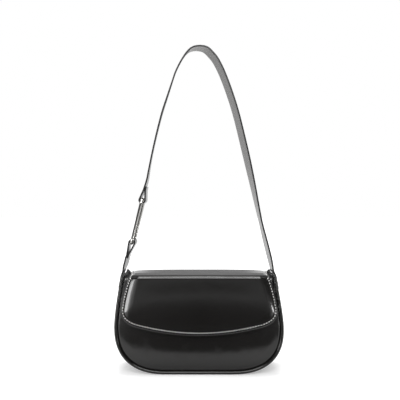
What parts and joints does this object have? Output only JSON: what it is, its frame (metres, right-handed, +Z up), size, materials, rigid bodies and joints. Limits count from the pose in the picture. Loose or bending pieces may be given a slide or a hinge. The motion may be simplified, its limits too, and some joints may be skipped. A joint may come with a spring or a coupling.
{
  "type": "baguette shoulder bag",
  "caption": "Small structured shoulder bag in glossy leather with a padded, stitched flap, a tall flat strap, an elongated metal ring and a hidden magnetic snap.",
  "frame": {"origin": "middle of the flat base, on the surface the bag stands on", "axes": "+Z up, the flap hangs in front towards -Y, +X to the right seen from the front"},
  "size_m": [0.242, 0.0693, 0.4732],
  "materials": {
    "gloss_leather": "polished, glossy, with very fine grain",
    "strap_lining": "smooth, semi-gloss",
    "lining_cloth": "fine twill",
    "fibre_board": "matt fibre board",
    "foam": "soft foam",
    "magnet": "sintered, matt",
    "polished_metal": "polished nickel"
  },
  "bodies": {
    "bag": {"front_panel": "gloss_leather", "back_panel": "gloss_leather", "gusset": "gloss_leather", "front_piping": "gloss_leather", "back_piping": "gloss_leather", "front_board": "fibre_board", "back_board": "fibre_board", "base_board": "fibre_board", "front_lining": "lining_cloth", "back_lining": "lining_cloth", "gusset_lining": "lining_cloth", "left_strap_tab": "gloss_leather", "right_strap_tab": "gloss_leather", "snap_stud": "polished_metal", "snap_stud_washer": "polished_metal"},
    "flap_top": {"flap_top_leather": "gloss_leather", "flap_top_board": "fibre_board", "flap_top_lining": "lining_cloth"},
    "flap_drop": {"flap_drop_leather": "gloss_leather", "flap_padding": "foam", "flap_drop_board": "fibre_board", "flap_drop_lining": "lining_cloth", "snap_cap": "polished_metal", "snap_magnet": "magnet", "snap_cap_washer": "polished_metal"},
    "strap": {"long_strap_leather": "gloss_leather", "long_strap_lining": "strap_lining", "short_strap_leather": "gloss_leather", "short_strap_lining": "strap_lining"},
    "ring": {"oval_ring": "polished_metal"}
  },
  "joints": [
    {"name": "rear_crease", "type": "hinge", "parent": "bag", "child": "flap_top", "pos_m": [0, 0.029, 0.1423], "axis": [-1, 0, 0], "range_deg": [0, 25]},
    {"name": "front_crease", "type": "hinge", "parent": "flap_top", "child": "flap_drop", "pos_m": [0, -0.0398, 0.1423], "axis": [-1, 0, 0], "range_deg": [0, 140], "stiffness_Nm_per_rad": 0.03, "springref_deg": -8.59},
    {"name": "strap_swing", "type": "hinge", "parent": "bag", "child": "strap", "pos_m": [0, 0, 0.1557], "axis": [-1, 0, 0], "range_deg": [0, 75]},
    {"name": "ring_rock", "type": "hinge", "parent": "strap", "child": "ring", "pos_m": [-0.09101, 0, 0.21725], "axis": [0, 1, 0], "range_deg": [-0.75, 0.75]}
  ]
}
